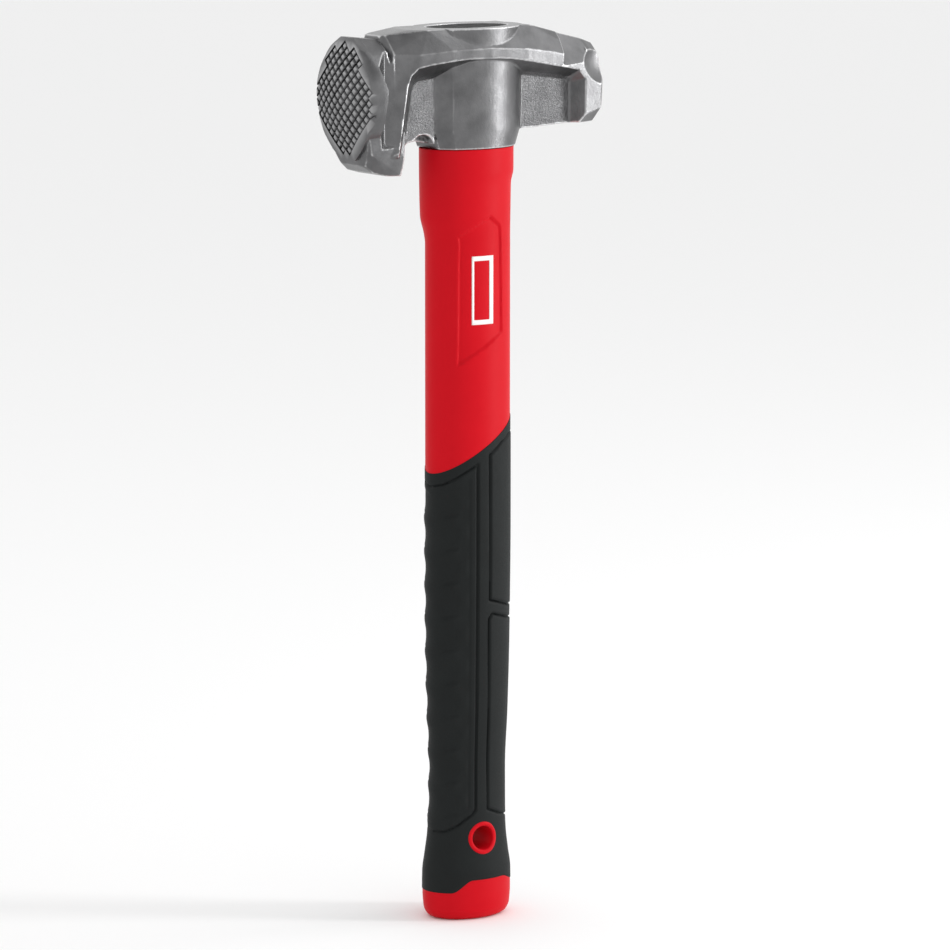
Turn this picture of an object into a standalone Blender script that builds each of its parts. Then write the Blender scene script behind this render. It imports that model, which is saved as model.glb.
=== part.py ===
"""Lump hammer: a forged head with one milled face, bonded on a fibreglass core.

Lengths below are millimetres and become metres where vertices are made. The origin is
the centre of the flat butt end on the handle's axis. +Z runs up the handle to the head,
-X is the side of the milled face, and the object is the same on its +Y and -Y sides.
"""
import math

import bmesh
import bpy
from mathutils import Vector

MM = 0.001
GAP = 0.3                  # clearance that touching pieces keep
SEGMENTS = 48              # points round the handle

# Handle: height, reach to -X, reach to +X, half width in Y
HANDLE_STATIONS = [
    (0.0, 16.6, 16.6, 12.2),
    (1.2, 18.5, 18.5, 13.7),
    (4.3, 19.9, 19.9, 14.9),
    (10.6, 20.4, 20.4, 15.3),
    (19.3, 20.3, 20.3, 15.2),
    (28.0, 19.1, 19.1, 14.4),
    (36.7, 17.9, 18.1, 13.6),
    (48.2, 17.4, 17.7, 13.2),
    (63.7, 17.1, 17.7, 13.0),
    (88.7, 17.9, 18.8, 13.8),
    (122.5, 18.6, 19.7, 14.4),
    (173.6, 18.8, 20.2, 14.7),
    (289.4, 18.8, 20.2, 14.7),
    (293.2, 19.3, 20.2, 14.8),
    (301.9, 21.4, 20.3, 15.3),
    (314.4, 21.6, 20.4, 15.8),
    (320.2, 21.6, 21.6, 16.3),
    (330.1, 21.6, 21.6, 16.4),
]
JACKET_TOP = 330.1
SLEEVE_WALL = 2.5          # thickness of the soft grip over the jacket
SLEEVE_TOP_AT_AXIS = 205.0
SLEEVE_TOP_RISE = 12.1     # rise of the sleeve's top edge from the axis to its +X side
SLEEVE_BOTTOM_FRONT = 11.6
SLEEVE_BOTTOM_SIDE = 16.9
SLEEVE_BOTTOM_BACK = 14.0
BUTT_HALF_X = 21.0
WAVE_FRONT = (-16.0, -7.0)  # X range in which the bottom edge climbs from front to side
WAVE_BACK = (9.0, 19.0)     # X range in which it falls again from side to back
# Where the sleeve's rings of points lie, as shares of its height
SLEEVE_SHARES = [0.0, 0.03, 0.07, 0.12, 0.2, 0.3, 0.42, 0.56, 0.7, 0.85, 1.0]

# Lanyard hole through the handle along Y
HOLE_X, HOLE_Z = -1.0, 35.2
HOLE_RADIUS = 5.2
RING_RADIUS = 7.1
RING_PROUD = 0.4

# Label recess on both cheeks of the handle, as X and Z of its corners
LABEL_OUTLINE = [(-12.2, 293.5), (2.2, 301.7), (8.2, 297.1), (9.4, 251.9), (-12.5, 238.5)]
LABEL_DEPTH = 0.8
STRAIGHT_HEIGHTS = [240.0, 265.0]       # extra rings where the handle's sides are straight
LABEL_FLOOR_HEIGHTS = [230.0, 289.4, 293.2, 301.9]
RING_HEIGHTS = (18.0, 50.0)             # height range of the solid that limits the ring
ACROSS = 40.0                           # half length of a tool that cuts right across

# Core and eye
CORE_BOTTOM, CORE_TOP = 46.3, 376.2
CORE_HALF_X, CORE_HALF_Y = 14.5, 8.3
EYE_TOP_X, EYE_TOP_Y = 19.5, 12.1
EYE_BOTTOM_X, EYE_BOTTOM_Y = 17.7, 10.8
EPOXY_TOP = 380.6

# Head
HEAD_TOP = 381.0
BOSS_BOTTOM = 330.4
BOSS_HALF_X, BOSS_HALF_Y = 25.9, 17.9
BOSS_SHOULDER = 355.0      # the boss is straight above this and tapers below it
BOSS_TAPER = 0.9
WEB_HALF = 8.7             # half thickness of the panels beside the boss
WEB_BOTTOM = 337.1
# What goes under the panels, from the rib behind the bell to the poll, seen along Y
WEB_CUT = [(-22.5, 290.0), (-22.5, WEB_BOTTOM), (29.0, WEB_BOTTOM), (49.0, WEB_BOTTOM + 1.0),
           (80.0, WEB_BOTTOM + 1.0), (80.0, 290.0)]
FACE_CENTRE_Z = 355.5
# Milled end, seen along X: x, half width, half height, roundness, height of the centre
BELL_STATIONS = [
    (-63.7, 5.8, 6.6, 2.0, FACE_CENTRE_Z),
    (-63.2, 12.1, 13.7, 2.0, FACE_CENTRE_Z),
    (-62.3, 17.0, 19.1, 2.1, FACE_CENTRE_Z),
    (-61.3, 19.9, 22.4, 2.1, FACE_CENTRE_Z),
    (-60.2, 21.0, 23.7, 2.15, FACE_CENTRE_Z),
    (-57.6, 20.2, 23.7, 2.2, FACE_CENTRE_Z - 0.6),
    (-49.2, 13.9, 23.1, 2.8, FACE_CENTRE_Z - 1.5),
    (-42.4, 13.1, 22.8, 3.0, FACE_CENTRE_Z - 1.9),
]
# Half of the forged body's outer envelope, one side of Y = 0, as corners of a convex hull
BODY_CORNERS = [
    (-47.7, 6.3, 379.5), (-33.8, 6.8, 381.0), (-28.5, 12.2, 381.0), (24.1, 12.3, 381.0),
    (54.0, 7.7, 373.5), (60.8, 6.3, 371.2),
    (-48.2, 12.5, 371.9), (-40.5, 15.4, 368.8), (-34.7, 16.6, 371.9), (-19.3, 18.0, 372.9),
    (0.0, 18.6, 373.1), (19.3, 18.0, 372.1), (39.5, 16.1, 368.7), (52.1, 14.7, 365.6),
    (60.6, 13.9, 363.3), (62.7, 10.6, 364.6), (62.7, 12.2, 355.5), (62.7, 10.8, 346.4),
    (-49.2, 12.9, 328.9), (-43.2, 15.5, 331.8), (-19.3, 18.0, 329.9), (0.0, 18.6, 329.9),
    (19.3, 18.0, 331.8), (52.1, 14.7, 343.9), (60.3, 13.9, 344.3),
    (59.3, 9.3, 338.0), (48.2, 9.6, 337.8), (28.9, 11.6, 329.9),
]
# Chin of the milled end, hooked back under the head
HOOK_CORNERS = [
    (-59.0, 12.2, 330.5), (-57.3, 8.3, 325.9), (-53.7, 9.1, 323.2), (-48.2, 10.4, 321.2),
    (-41.0, 11.0, 320.8), (-40.8, 13.1, 328.9), (-40.5, 12.9, 339.5), (-55.9, 13.1, 329.5),
    (-55.9, 11.6, 339.5),
]
# Pocket beside the boss: X and Z of its floor's corners, and of its mouth's corners
POCKET_FLOOR = [(-34.4, 355.5), (-31.0, 359.9), (-9.6, 362.3), (9.6, 361.6), (45.0, 356.9),
                (47.3, 355.2), (47.3, 318.3), (-40.9, 318.3)]
POCKET_MOUTH = [(-45.6, 360.0), (-38.6, 368.7), (-12.0, 369.9), (10.0, 369.2), (50.0, 363.9),
                (54.6, 358.5), (54.6, 318.3), (-52.9, 318.3)]
POCKET_MOUTH_Y = 20.3
# The slot between the hook and the handle, seen along Y
SLOT_OUTLINE = [(-41.0, 308.7), (-39.9, 330.8), (-36.7, 334.1), (-32.8, 334.7),
                (-21.2, 332.8), (-21.2, 308.7)]
SCOOP_X, SCOOP_Z, SCOOP_RADIUS, SCOOP_INNER_Y = -28.4, 331.4, 5.8, 4.3
SCALLOP_CENTRE, SCALLOP_RADIUS = (64.6, 29.9, 367.5), 18.9


def collection(name):
    """Makes a collection in the scene."""
    made = bpy.data.collections.new(name)
    bpy.context.scene.collection.children.link(made)
    return made


def material(name, colour, metallic, roughness):
    """Makes a plain Principled material."""
    made = bpy.data.materials.new(name)
    made.use_nodes = True
    shader = made.node_tree.nodes["Principled BSDF"]
    shader.inputs["Base Color"].default_value = (*colour, 1.0)
    shader.inputs["Metallic"].default_value = metallic
    shader.inputs["Roughness"].default_value = roughness
    return made


def finish(name, bm, where, surface=None):
    """Turns a bmesh in millimetres into an object in metres with its faces out."""
    bmesh.ops.remove_doubles(bm, verts=bm.verts, dist=1e-4)
    bmesh.ops.scale(bm, vec=(MM, MM, MM), verts=bm.verts)
    bmesh.ops.recalc_face_normals(bm, faces=bm.faces)
    mesh = bpy.data.meshes.new(name)
    bm.to_mesh(mesh)
    bm.free()
    mesh.shade_smooth()
    mesh.set_sharp_from_angle(angle=math.radians(32))
    made = bpy.data.objects.new(name, mesh)
    if surface is None:
        made.hide_render = True
        made.display_type = 'WIRE'
    else:
        mesh.materials.append(surface)
    where.objects.link(made)
    return made


def boolean(target, tool, operation):
    """Adds an exact Boolean modifier."""
    step = target.modifiers.new(f"{operation.lower()}_{tool.name}", 'BOOLEAN')
    step.operation = operation
    step.object = tool
    step.solver = 'EXACT'


def stack(bm, rings, capped=True):
    """Skins a list of closed rings, all with the same number of points, and caps its ends."""
    loops = []
    for points in rings:
        verts = [bm.verts.new(point) for point in points]
        edges = [bm.edges.new((verts[i - 1], verts[i])) for i in range(len(verts))]
        loops.append((verts, edges))
    for (_, lower), (_, upper) in zip(loops, loops[1:]):
        bmesh.ops.bridge_loops(bm, edges=lower + upper)
    if capped:
        bm.faces.new(loops[0][0])
        bm.faces.new(loops[-1][0])


def hull(name, points, where, surface=None):
    """Makes the convex hull of a list of points."""
    bm = bmesh.new()
    for point in points:
        bm.verts.new(point)
    result = bmesh.ops.convex_hull(bm, input=bm.verts)
    loose = [v for v in result["geom_interior"] if isinstance(v, bmesh.types.BMVert)]
    bmesh.ops.delete(bm, geom=loose, context='VERTS')
    bmesh.ops.dissolve_limit(bm, angle_limit=math.radians(1), verts=bm.verts, edges=bm.edges)
    return finish(name, bm, where, surface)


def both_sides(points):
    """Mirrors a list of points to -Y."""
    return points + [(x, -y, z) for x, y, z in points]


def prism(name, outline, y_low, y_high, where):
    """Extrudes an X-Z outline along Y."""
    bm = bmesh.new()
    stack(bm, [[(x, y, z) for x, z in outline] for y in (y_low, y_high)])
    return finish(name, bm, where)


def rod_along_y(name, x, z, radius, reach, where, sides=32):
    """A closed cylinder along Y, centred on the object."""
    bm = bmesh.new()
    turns = [2 * math.pi * i / sides for i in range(sides)]
    outline = [(x + radius * math.cos(t), z + radius * math.sin(t)) for t in turns]
    stack(bm, [[(px, y, pz) for px, pz in outline] for y in (-reach, reach)])
    return finish(name, bm, where)


def smoothstep(value, low, high):
    """Runs from 0 at low to 1 at high with level ends."""
    t = min(1.0, max(0.0, (value - low) / (high - low)))
    return t * t * (3 - 2 * t)


def handle_size(z):
    """The handle's centre X, half length in X and half width in Y at a height."""
    z = min(max(z, HANDLE_STATIONS[0][0]), HANDLE_STATIONS[-1][0])
    for low, high in zip(HANDLE_STATIONS, HANDLE_STATIONS[1:]):
        if z <= high[0]:
            t = (z - low[0]) / (high[0] - low[0])
            front, back, half_y = (low[i] + (high[i] - low[i]) * t for i in (1, 2, 3))
            return (back - front) / 2, (back + front) / 2, half_y


def station_heights(low, high):
    """Heights of the handle's stations within a range."""
    return [station[0] for station in HANDLE_STATIONS if low <= station[0] <= high]


def handle_point(turn, z, inset=0.0):
    """A point on the handle's outside, or inset below it."""
    centre, half_x, half_y = handle_size(z)
    return (centre + (half_x - inset) * math.cos(turn), (half_y - inset) * math.sin(turn), z)


def sleeve_top(turn):
    """Height of the sleeve's slanted top edge."""
    return SLEEVE_TOP_AT_AXIS + SLEEVE_TOP_RISE * math.cos(turn)


def sleeve_bottom(turn):
    """Height of the sleeve's waved bottom edge."""
    x = BUTT_HALF_X * math.cos(turn)
    rise = (SLEEVE_BOTTOM_SIDE - SLEEVE_BOTTOM_FRONT) * smoothstep(x, *WAVE_FRONT)
    fall = (SLEEVE_BOTTOM_SIDE - SLEEVE_BOTTOM_BACK) * smoothstep(x, *WAVE_BACK)
    return SLEEVE_BOTTOM_FRONT + rise - fall


TURNS = [2 * math.pi * i / SEGMENTS for i in range(SEGMENTS)]


def handle_ring(height, inset=0.0):
    """One ring round the handle; height is a number or a function of the turn."""
    return [handle_point(t, height(t) if callable(height) else height, inset) for t in TURNS]


def between(share):
    """A height function that lies a share of the way from the sleeve's bottom to its top."""
    return lambda turn: sleeve_bottom(turn) * (1 - share) + sleeve_top(turn) * share


def oval_ring(half_x, half_y, z, centre=0.0):
    """A level elliptical ring."""
    return [(centre + half_x * math.cos(t), half_y * math.sin(t), z) for t in TURNS]


def make_handle_jacket(parts, tools, surface):
    """Hard moulding round the core: neck, label recesses, seat of the grip, ring and butt."""
    seat = SLEEVE_WALL + GAP
    rings = [handle_ring(z) for z in station_heights(0.0, SLEEVE_BOTTOM_FRONT - 1.5)]
    rings.append(handle_ring(lambda t: sleeve_bottom(t) - GAP))
    rings.append(handle_ring(lambda t: sleeve_bottom(t) - GAP, seat))
    rings += [handle_ring(between(share), seat) for share in SLEEVE_SHARES[1:-1]]
    rings.append(handle_ring(lambda t: sleeve_top(t) + GAP, seat))
    rings.append(handle_ring(lambda t: sleeve_top(t) + GAP))
    rings += [handle_ring(z) for z in STRAIGHT_HEIGHTS]
    rings += [handle_ring(z) for z in station_heights(280.0, JACKET_TOP)]
    bm = bmesh.new()
    stack(bm, rings)
    jacket = finish("handle_jacket", bm, parts, surface)

    bm = bmesh.new()
    bore = CORE_HALF_X + GAP, CORE_HALF_Y + GAP
    stack(bm, [oval_ring(*bore, z) for z in (CORE_BOTTOM - GAP, JACKET_TOP + 10.0)])
    boolean(jacket, finish("bore_tool", bm, tools), 'DIFFERENCE')

    # The ring round the lanyard hole reaches the grip's surface on both cheeks.
    ring = rod_along_y("ring_tool", HOLE_X, HOLE_Z, RING_RADIUS, ACROSS, tools)
    bm = bmesh.new()
    stack(bm, [handle_ring(z, -RING_PROUD) for z in station_heights(*RING_HEIGHTS)])
    boolean(ring, finish("ring_limit", bm, tools), 'INTERSECT')
    boolean(jacket, ring, 'UNION')
    boolean(jacket, rod_along_y("hole_tool", HOLE_X, HOLE_Z, HOLE_RADIUS, ACROSS, tools),
            'DIFFERENCE')

    # A label recess is the outline's prism less the handle inside the recess floor.
    bm = bmesh.new()
    stack(bm, [handle_ring(z, LABEL_DEPTH) for z in LABEL_FLOOR_HEIGHTS])
    floor = finish("label_floor", bm, tools)
    for side, name in ((-1, "label_right"), (1, "label_left")):
        reach = sorted((side * 4.0, side * ACROSS))
        recess = prism(name, LABEL_OUTLINE, *reach, tools)
        boolean(recess, floor, 'DIFFERENCE')
        boolean(jacket, recess, 'DIFFERENCE')


def make_grip_sleeve(parts, tools, surface):
    """Soft grip moulded over the jacket, open where the ring comes through."""
    bm = bmesh.new()
    stack(bm, [handle_ring(between(share)) for share in SLEEVE_SHARES], capped=False)
    sleeve = finish("grip_sleeve", bm, parts, surface)
    wall = sleeve.modifiers.new("wall", 'SOLIDIFY')
    wall.thickness = SLEEVE_WALL * MM
    wall.offset = -1.0
    boolean(sleeve, rod_along_y("ring_clear", HOLE_X, HOLE_Z, RING_RADIUS + GAP, ACROSS, tools),
            'DIFFERENCE')


def make_fibreglass_core(parts, surface):
    """Oval fibreglass bar from above the lanyard hole up into the eye."""
    bm = bmesh.new()
    stack(bm, [oval_ring(CORE_HALF_X, CORE_HALF_Y, z) for z in (CORE_BOTTOM, CORE_TOP)])
    finish("fibreglass_core", bm, parts, surface)


def eye_half(z, inset):
    """Half length and half width of the tapered eye at a height."""
    t = (z - BOSS_BOTTOM) / (HEAD_TOP - BOSS_BOTTOM)
    return (EYE_BOTTOM_X + (EYE_TOP_X - EYE_BOTTOM_X) * t - inset,
            EYE_BOTTOM_Y + (EYE_TOP_Y - EYE_BOTTOM_Y) * t - inset)


def make_eye_epoxy(parts, surface):
    """Bonding resin that fills the eye round and over the end of the core."""
    low = BOSS_BOTTOM + GAP
    bore_x, bore_y = CORE_HALF_X + GAP, CORE_HALF_Y + GAP
    bm = bmesh.new()
    stack(bm, [oval_ring(*eye_half(EPOXY_TOP, GAP), EPOXY_TOP),
               oval_ring(*eye_half(low, GAP), low),
               oval_ring(bore_x, bore_y, low),
               oval_ring(bore_x, bore_y, CORE_TOP + GAP)])
    finish("eye_epoxy", bm, parts, surface)


def bell_ring(x, half_y, half_z, power, centre_z, points=40):
    """A superellipse across the head at one X."""
    ring = []
    for i in range(points):
        t = 2 * math.pi * i / points
        c, s = math.cos(t), math.sin(t)
        ring.append((x, half_y * math.copysign(abs(c) ** (2 / power), c),
                     centre_z + half_z * math.copysign(abs(s) ** (2 / power), s)))
    return ring


def make_hammer_head(parts, tools, surface):
    """Forged head: bell with the milled face, boss round the eye, panels and poll."""
    head = hull("hammer_head", both_sides(BODY_CORNERS), parts, surface)

    boolean(head, prism("web_cut", WEB_CUT, -ACROSS, ACROSS, tools), 'DIFFERENCE')

    # Pockets leave the panels standing between the flange, the rib and the poll.
    for side, name in ((-1, "pocket_right"), (1, "pocket_left")):
        levels = [(side * WEB_HALF, POCKET_FLOOR), (side * POCKET_MOUTH_Y, POCKET_MOUTH)]
        bm = bmesh.new()
        stack(bm, [[(x, y, z) for x, z in outline] for y, outline in levels])
        boolean(head, finish(name, bm, tools), 'DIFFERENCE')

    # The boss is an oval tower that also stands through the flange's sloping top.
    bm = bmesh.new()
    stack(bm, [oval_ring(BOSS_HALF_X - BOSS_TAPER, BOSS_HALF_Y - BOSS_TAPER, BOSS_BOTTOM),
               oval_ring(BOSS_HALF_X, BOSS_HALF_Y, BOSS_SHOULDER),
               oval_ring(BOSS_HALF_X, BOSS_HALF_Y, HEAD_TOP)])
    boolean(head, finish("boss", bm, tools), 'UNION')

    # Bell and hook.
    bm = bmesh.new()
    stack(bm, [bell_ring(*station) for station in BELL_STATIONS])
    boolean(head, finish("bell", bm, tools), 'UNION')
    boolean(head, hull("hook", both_sides(HOOK_CORNERS), tools), 'UNION')

    # Slot behind the hook, with a scoop in each cheek above it.
    boolean(head, prism("hook_slot", SLOT_OUTLINE, -ACROSS, ACROSS, tools), 'DIFFERENCE')
    turns = [2 * math.pi * i / 28 for i in range(28)]
    scoop = [(SCOOP_X + SCOOP_RADIUS * math.cos(t), SCOOP_Z + SCOOP_RADIUS * math.sin(t))
             for t in turns]
    for side, name in ((-1, "scoop_right"), (1, "scoop_left")):
        reach = sorted((side * SCOOP_INNER_Y, side * ACROSS))
        boolean(head, prism(name, scoop, *reach, tools), 'DIFFERENCE')

    # Hollow scallops on the poll's upper corners.
    for side, name in ((-1, "scallop_right"), (1, "scallop_left")):
        bm = bmesh.new()
        bmesh.ops.create_uvsphere(bm, u_segments=40, v_segments=24, radius=SCALLOP_RADIUS)
        x, y, z = SCALLOP_CENTRE
        bmesh.ops.translate(bm, verts=bm.verts, vec=Vector((x, side * y, z)))
        boolean(head, finish(name, bm, tools), 'DIFFERENCE')

    # The tapered eye goes right through.
    bm = bmesh.new()
    stack(bm, [oval_ring(*eye_half(z, 0.0), z) for z in (BOSS_BOTTOM - 8, HEAD_TOP + 5)])
    boolean(head, finish("eye_tool", bm, tools), 'DIFFERENCE')


for old in list(bpy.data.objects):
    bpy.data.objects.remove(old, do_unlink=True)
PARTS = collection("lump_hammer")
TOOLS = collection("cutters")
STEEL = material("forged_steel", (0.33, 0.33, 0.34), 1.0, 0.38)
RED = material("red_moulding", (0.53, 0.008, 0.012), 0.0, 0.42)
BLACK = material("black_grip", (0.018, 0.020, 0.019), 0.0, 0.62)
GLASS_FIBRE = material("pultruded_fibreglass", (0.62, 0.55, 0.28), 0.0, 0.5)
RESIN = material("dark_resin", (0.012, 0.012, 0.013), 0.0, 0.35)

make_hammer_head(PARTS, TOOLS, STEEL)
make_fibreglass_core(PARTS, GLASS_FIBRE)
make_eye_epoxy(PARTS, RESIN)
make_handle_jacket(PARTS, TOOLS, RED)
make_grip_sleeve(PARTS, TOOLS, BLACK)
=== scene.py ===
# %% [markdown]
# # A lump hammer, made to be looked at
# The hammer is a forged steel head on a fibreglass core. A hard red moulding covers the core,
# and a soft black grip is moulded over the red. The working model of it is already packed,
# so this lesson only makes the surfaces that the eye meets: the forged skin of the head, its
# milled face, the mouldings of the handle, and the finish of each of them.

# %% Load the working model
import math

import bmesh
import bpy
import numpy as np
from mathutils import Matrix, Vector


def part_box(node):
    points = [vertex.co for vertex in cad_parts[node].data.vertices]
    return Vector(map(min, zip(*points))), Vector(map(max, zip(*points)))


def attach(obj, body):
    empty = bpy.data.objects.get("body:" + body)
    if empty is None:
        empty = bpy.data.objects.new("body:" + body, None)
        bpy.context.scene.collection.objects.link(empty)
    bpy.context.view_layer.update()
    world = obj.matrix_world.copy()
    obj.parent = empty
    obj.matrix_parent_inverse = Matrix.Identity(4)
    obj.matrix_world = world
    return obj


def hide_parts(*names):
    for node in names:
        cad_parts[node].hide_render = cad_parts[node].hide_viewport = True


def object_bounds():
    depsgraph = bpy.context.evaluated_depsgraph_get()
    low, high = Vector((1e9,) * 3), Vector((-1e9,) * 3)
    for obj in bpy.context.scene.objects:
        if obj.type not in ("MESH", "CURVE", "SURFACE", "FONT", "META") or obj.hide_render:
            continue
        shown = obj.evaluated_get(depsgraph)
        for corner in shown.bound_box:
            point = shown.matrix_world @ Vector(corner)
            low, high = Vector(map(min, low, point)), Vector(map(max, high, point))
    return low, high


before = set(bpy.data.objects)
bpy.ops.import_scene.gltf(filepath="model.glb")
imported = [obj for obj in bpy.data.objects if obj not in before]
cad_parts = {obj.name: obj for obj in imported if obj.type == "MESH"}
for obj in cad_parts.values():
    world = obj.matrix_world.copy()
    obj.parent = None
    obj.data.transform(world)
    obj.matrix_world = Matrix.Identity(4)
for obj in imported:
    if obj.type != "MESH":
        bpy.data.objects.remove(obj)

CAD_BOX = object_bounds()
MM = 0.001
print("working model, mm:", [round(v / MM, 1) for v in CAD_BOX[1] - CAD_BOX[0]])

# %% [markdown]
# ## The camera
# A product shot of a tall, slim thing is taken from far away with a long lens, because a near
# lens would make the head look larger than the butt. The camera looks a little down on the
# hammer and towards the side with the milled face.

# %% Place the camera
CAMERA_AZIMUTH = math.radians(36)
CAMERA_ELEVATION = math.radians(9)
CAMERA_DISTANCE = 2.508
LENS = 223.9
AIM_HEIGHT = 0.19
SENSOR_WIDTH = 36
SHIFT_X = 0.0092           # sideways shift, as a share of the frame


def from_direction(azimuth, elevation):
    """Unit vector towards a viewer or a lamp; azimuth 0 is in front (-Y), positive to -X."""
    level = math.cos(elevation)
    return Vector((-math.sin(azimuth) * level, -math.cos(azimuth) * level, math.sin(elevation)))


def aim(thing, direction, distance, target):
    """Puts a camera or a lamp at a distance from the target and turns it towards it."""
    thing.location = target + direction * distance
    thing.rotation_euler = (-direction).to_track_quat("-Z", "Y").to_euler()


camera = bpy.data.objects.new("camera", bpy.data.cameras.new("camera"))
camera.data.lens = LENS
camera.data.sensor_width = SENSOR_WIDTH
camera.data.shift_x = SHIFT_X
bpy.context.scene.collection.objects.link(camera)
bpy.context.scene.camera = camera
aim(camera, from_direction(CAMERA_AZIMUTH, CAMERA_ELEVATION), CAMERA_DISTANCE,
    Vector((0, 0, AIM_HEIGHT)))
print("camera at", [round(v, 3) for v in camera.location])

# %% [markdown]
# ## Colour, and one helper for nodes
# A colour picked from a swatch is an sRGB value, and the shader wants linear light, so one
# function turns hex values into linear ones. A second adds a node of any kind with its
# values and its links, so that a material reads as a short list of steps.

# %% Colours and nodes
def linear(hex_colour):
    """Turns an sRGB hex colour into linear RGBA."""
    channels = [int(hex_colour[i:i + 2], 16) / 255 for i in (1, 3, 5)]
    return (*[c / 12.92 if c <= 0.04045 else ((c + 0.055) / 1.055) ** 2.4
              for c in channels], 1.0)


def add(owner, kind, inputs, **properties):
    """Adds a node; each input, by name or number, is a value or another node's output."""
    node = owner.node_tree.nodes.new(kind)
    for key, value in properties.items():
        setattr(node, key, value)
    for key, value in inputs.items():
        if isinstance(value, bpy.types.NodeSocket):
            owner.node_tree.links.new(node.inputs[key], value)
        else:
            node.inputs[key].default_value = value
    return node


def new_material(name, **values):
    """A material with values for its Principled shader, and object coordinates in mm."""
    material = bpy.data.materials.new(name)
    material.use_nodes = True
    for key, value in values.items():
        shader = material.node_tree.nodes["Principled BSDF"]
        shader.inputs[key.replace("_", " ")].default_value = value
    place = add(material, "ShaderNodeTexCoord", {}).outputs["Object"]
    scaled = add(material, "ShaderNodeVectorMath", {0: place, "Scale": 1 / MM},
                 operation='SCALE')
    return material, scaled.outputs[0]


def plug(material, colour, roughness, normal):
    """Links a material's last nodes to its Principled shader."""
    shader = material.node_tree.nodes["Principled BSDF"]
    for key, socket in (("Base Color", colour), ("Roughness", roughness), ("Normal", normal)):
        material.node_tree.links.new(shader.inputs[key], socket)


# %% [markdown]
# ## Forged steel
# The head is hammer-forged, shot-blasted and lacquered, so it is a mid grey with a soft, broad
# gleam. Its sharp edges are painted bright, partly as rubbing and partly as a painted highlight,
# and its inside corners are painted dark as painted shade. The pockets keep the coarse grain of
# the die. Three values stored on the mesh say where: edge_wear_and_highlight, die_grain and hollow.

# %% The steel
def make_forged_steel():
    """Shot-blasted forged steel: fine pitting, grainy pockets, edges lightened as rubbing and
    painted highlight, and inside corners darkened as painted shade.
    """
    steel, place = new_material("shot_blasted_forged_steel", Metallic=1.0)
    wear_and_highlight, painted_hollow_shade, grain = (
        add(steel, "ShaderNodeAttribute", {}, attribute_name=name).outputs["Fac"]
        for name in ("edge_wear_and_highlight", "painted_hollow_shade", "die_grain"))
    cloud, pits, die = (
        add(steel, "ShaderNodeTexNoise", {"Vector": place, "Scale": 1 / size,
                                          "Detail": detail, "Roughness": rough}).outputs[0]
        for size, detail, rough in ((9.0, 4.0, 0.55), (0.55, 2.0, 0.55), (1.1, 3.0, 0.65)))

    patches = add(steel, "ShaderNodeMapRange", {"Value": cloud, "From Min": 0.3, "From Max": 0.7})
    colour = add(steel, "ShaderNodeMix", {0: patches.outputs[0], 6: linear("#5D5D5E"),
                                          7: linear("#717172")}, data_type='RGBA').outputs[2]
    # Rubbed edges are lightened towards a near-white, partly as rubbing and partly as a painted
    # highlight; inside corners are darkened towards a near-black as painted shade.
    for share, towards in ((wear_and_highlight, "#DCDCDD"), (painted_hollow_shade, "#242425")):
        colour = add(steel, "ShaderNodeMix", {0: share, 6: colour, 7: linear(towards)},
                     data_type='RGBA').outputs[2]
    rough = add(steel, "ShaderNodeMapRange", {"Value": pits, "From Min": 0.3, "From Max": 0.7,
                                              "To Min": 0.29, "To Max": 0.38})
    deep = add(steel, "ShaderNodeMath", {0: die, 1: grain}, operation='MULTIPLY').outputs[0]
    normal = add(steel, "ShaderNodeBump", {"Height": cloud, "Distance": 0.25 * MM,
                                           "Strength": 0.3}).outputs[0]
    for height, depth, strength in ((pits, 0.03, 0.35), (deep, 0.6, 0.9)):
        normal = add(steel, "ShaderNodeBump", {"Height": height, "Distance": depth * MM,
                                               "Strength": strength, "Normal": normal}).outputs[0]
    plug(steel, colour, rough.outputs[0], normal)
    return steel


FORGED_STEEL = make_forged_steel()
print("made", FORGED_STEEL.name)

# %% [markdown]
# ## The plastics, the resins and the ink
# The red is glass-filled nylon from a fine-sparked mould: a clean saturated colour with a
# satin gloss. The black is thermoplastic rubber, matt, with a slight sheen at grazing angles.
# The eye is filled with black epoxy, poured, left to level and gone dull. The core inside is
# pultruded glass fibre, yellowish, with its fibres running along the handle. The label's ink
# is made in the same way, because all five differ only in colours, sizes and gloss.

# %% The plastics
def make_moulded(name, colours, patch, texture, roughness, relief, stretch=1.0, **values):
    """A moulded or drawn material: two close colours in patches and a fine surface texture.

    patch and texture are sizes in mm, roughness is a range, relief is a bump's depth in mm and
    its strength, and stretch draws the texture out along the handle.
    """
    made, place = new_material(name, **values)
    place = add(made, "ShaderNodeVectorMath", {0: place, 1: (1.0, 1.0, 1 / stretch)},
                operation='MULTIPLY').outputs[0]
    patches, fine = (
        add(made, "ShaderNodeTexNoise", {"Vector": place, "Scale": 1 / size, "Detail": 3.0}
            ).outputs[0] for size in (patch, texture))
    colour = add(made, "ShaderNodeMix", {0: patches, 6: linear(colours[0]),
                                         7: linear(colours[1])}, data_type='RGBA')
    rough = add(made, "ShaderNodeMapRange", {"Value": fine, "From Min": 0.3, "From Max": 0.7,
                                             "To Min": roughness[0], "To Max": roughness[1]})
    depth, strength = relief
    normal = add(made, "ShaderNodeBump", {"Height": fine, "Distance": depth * MM,
                                          "Strength": strength})
    plug(made, colour.outputs[2], rough.outputs[0], normal.outputs[0])
    return made


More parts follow.
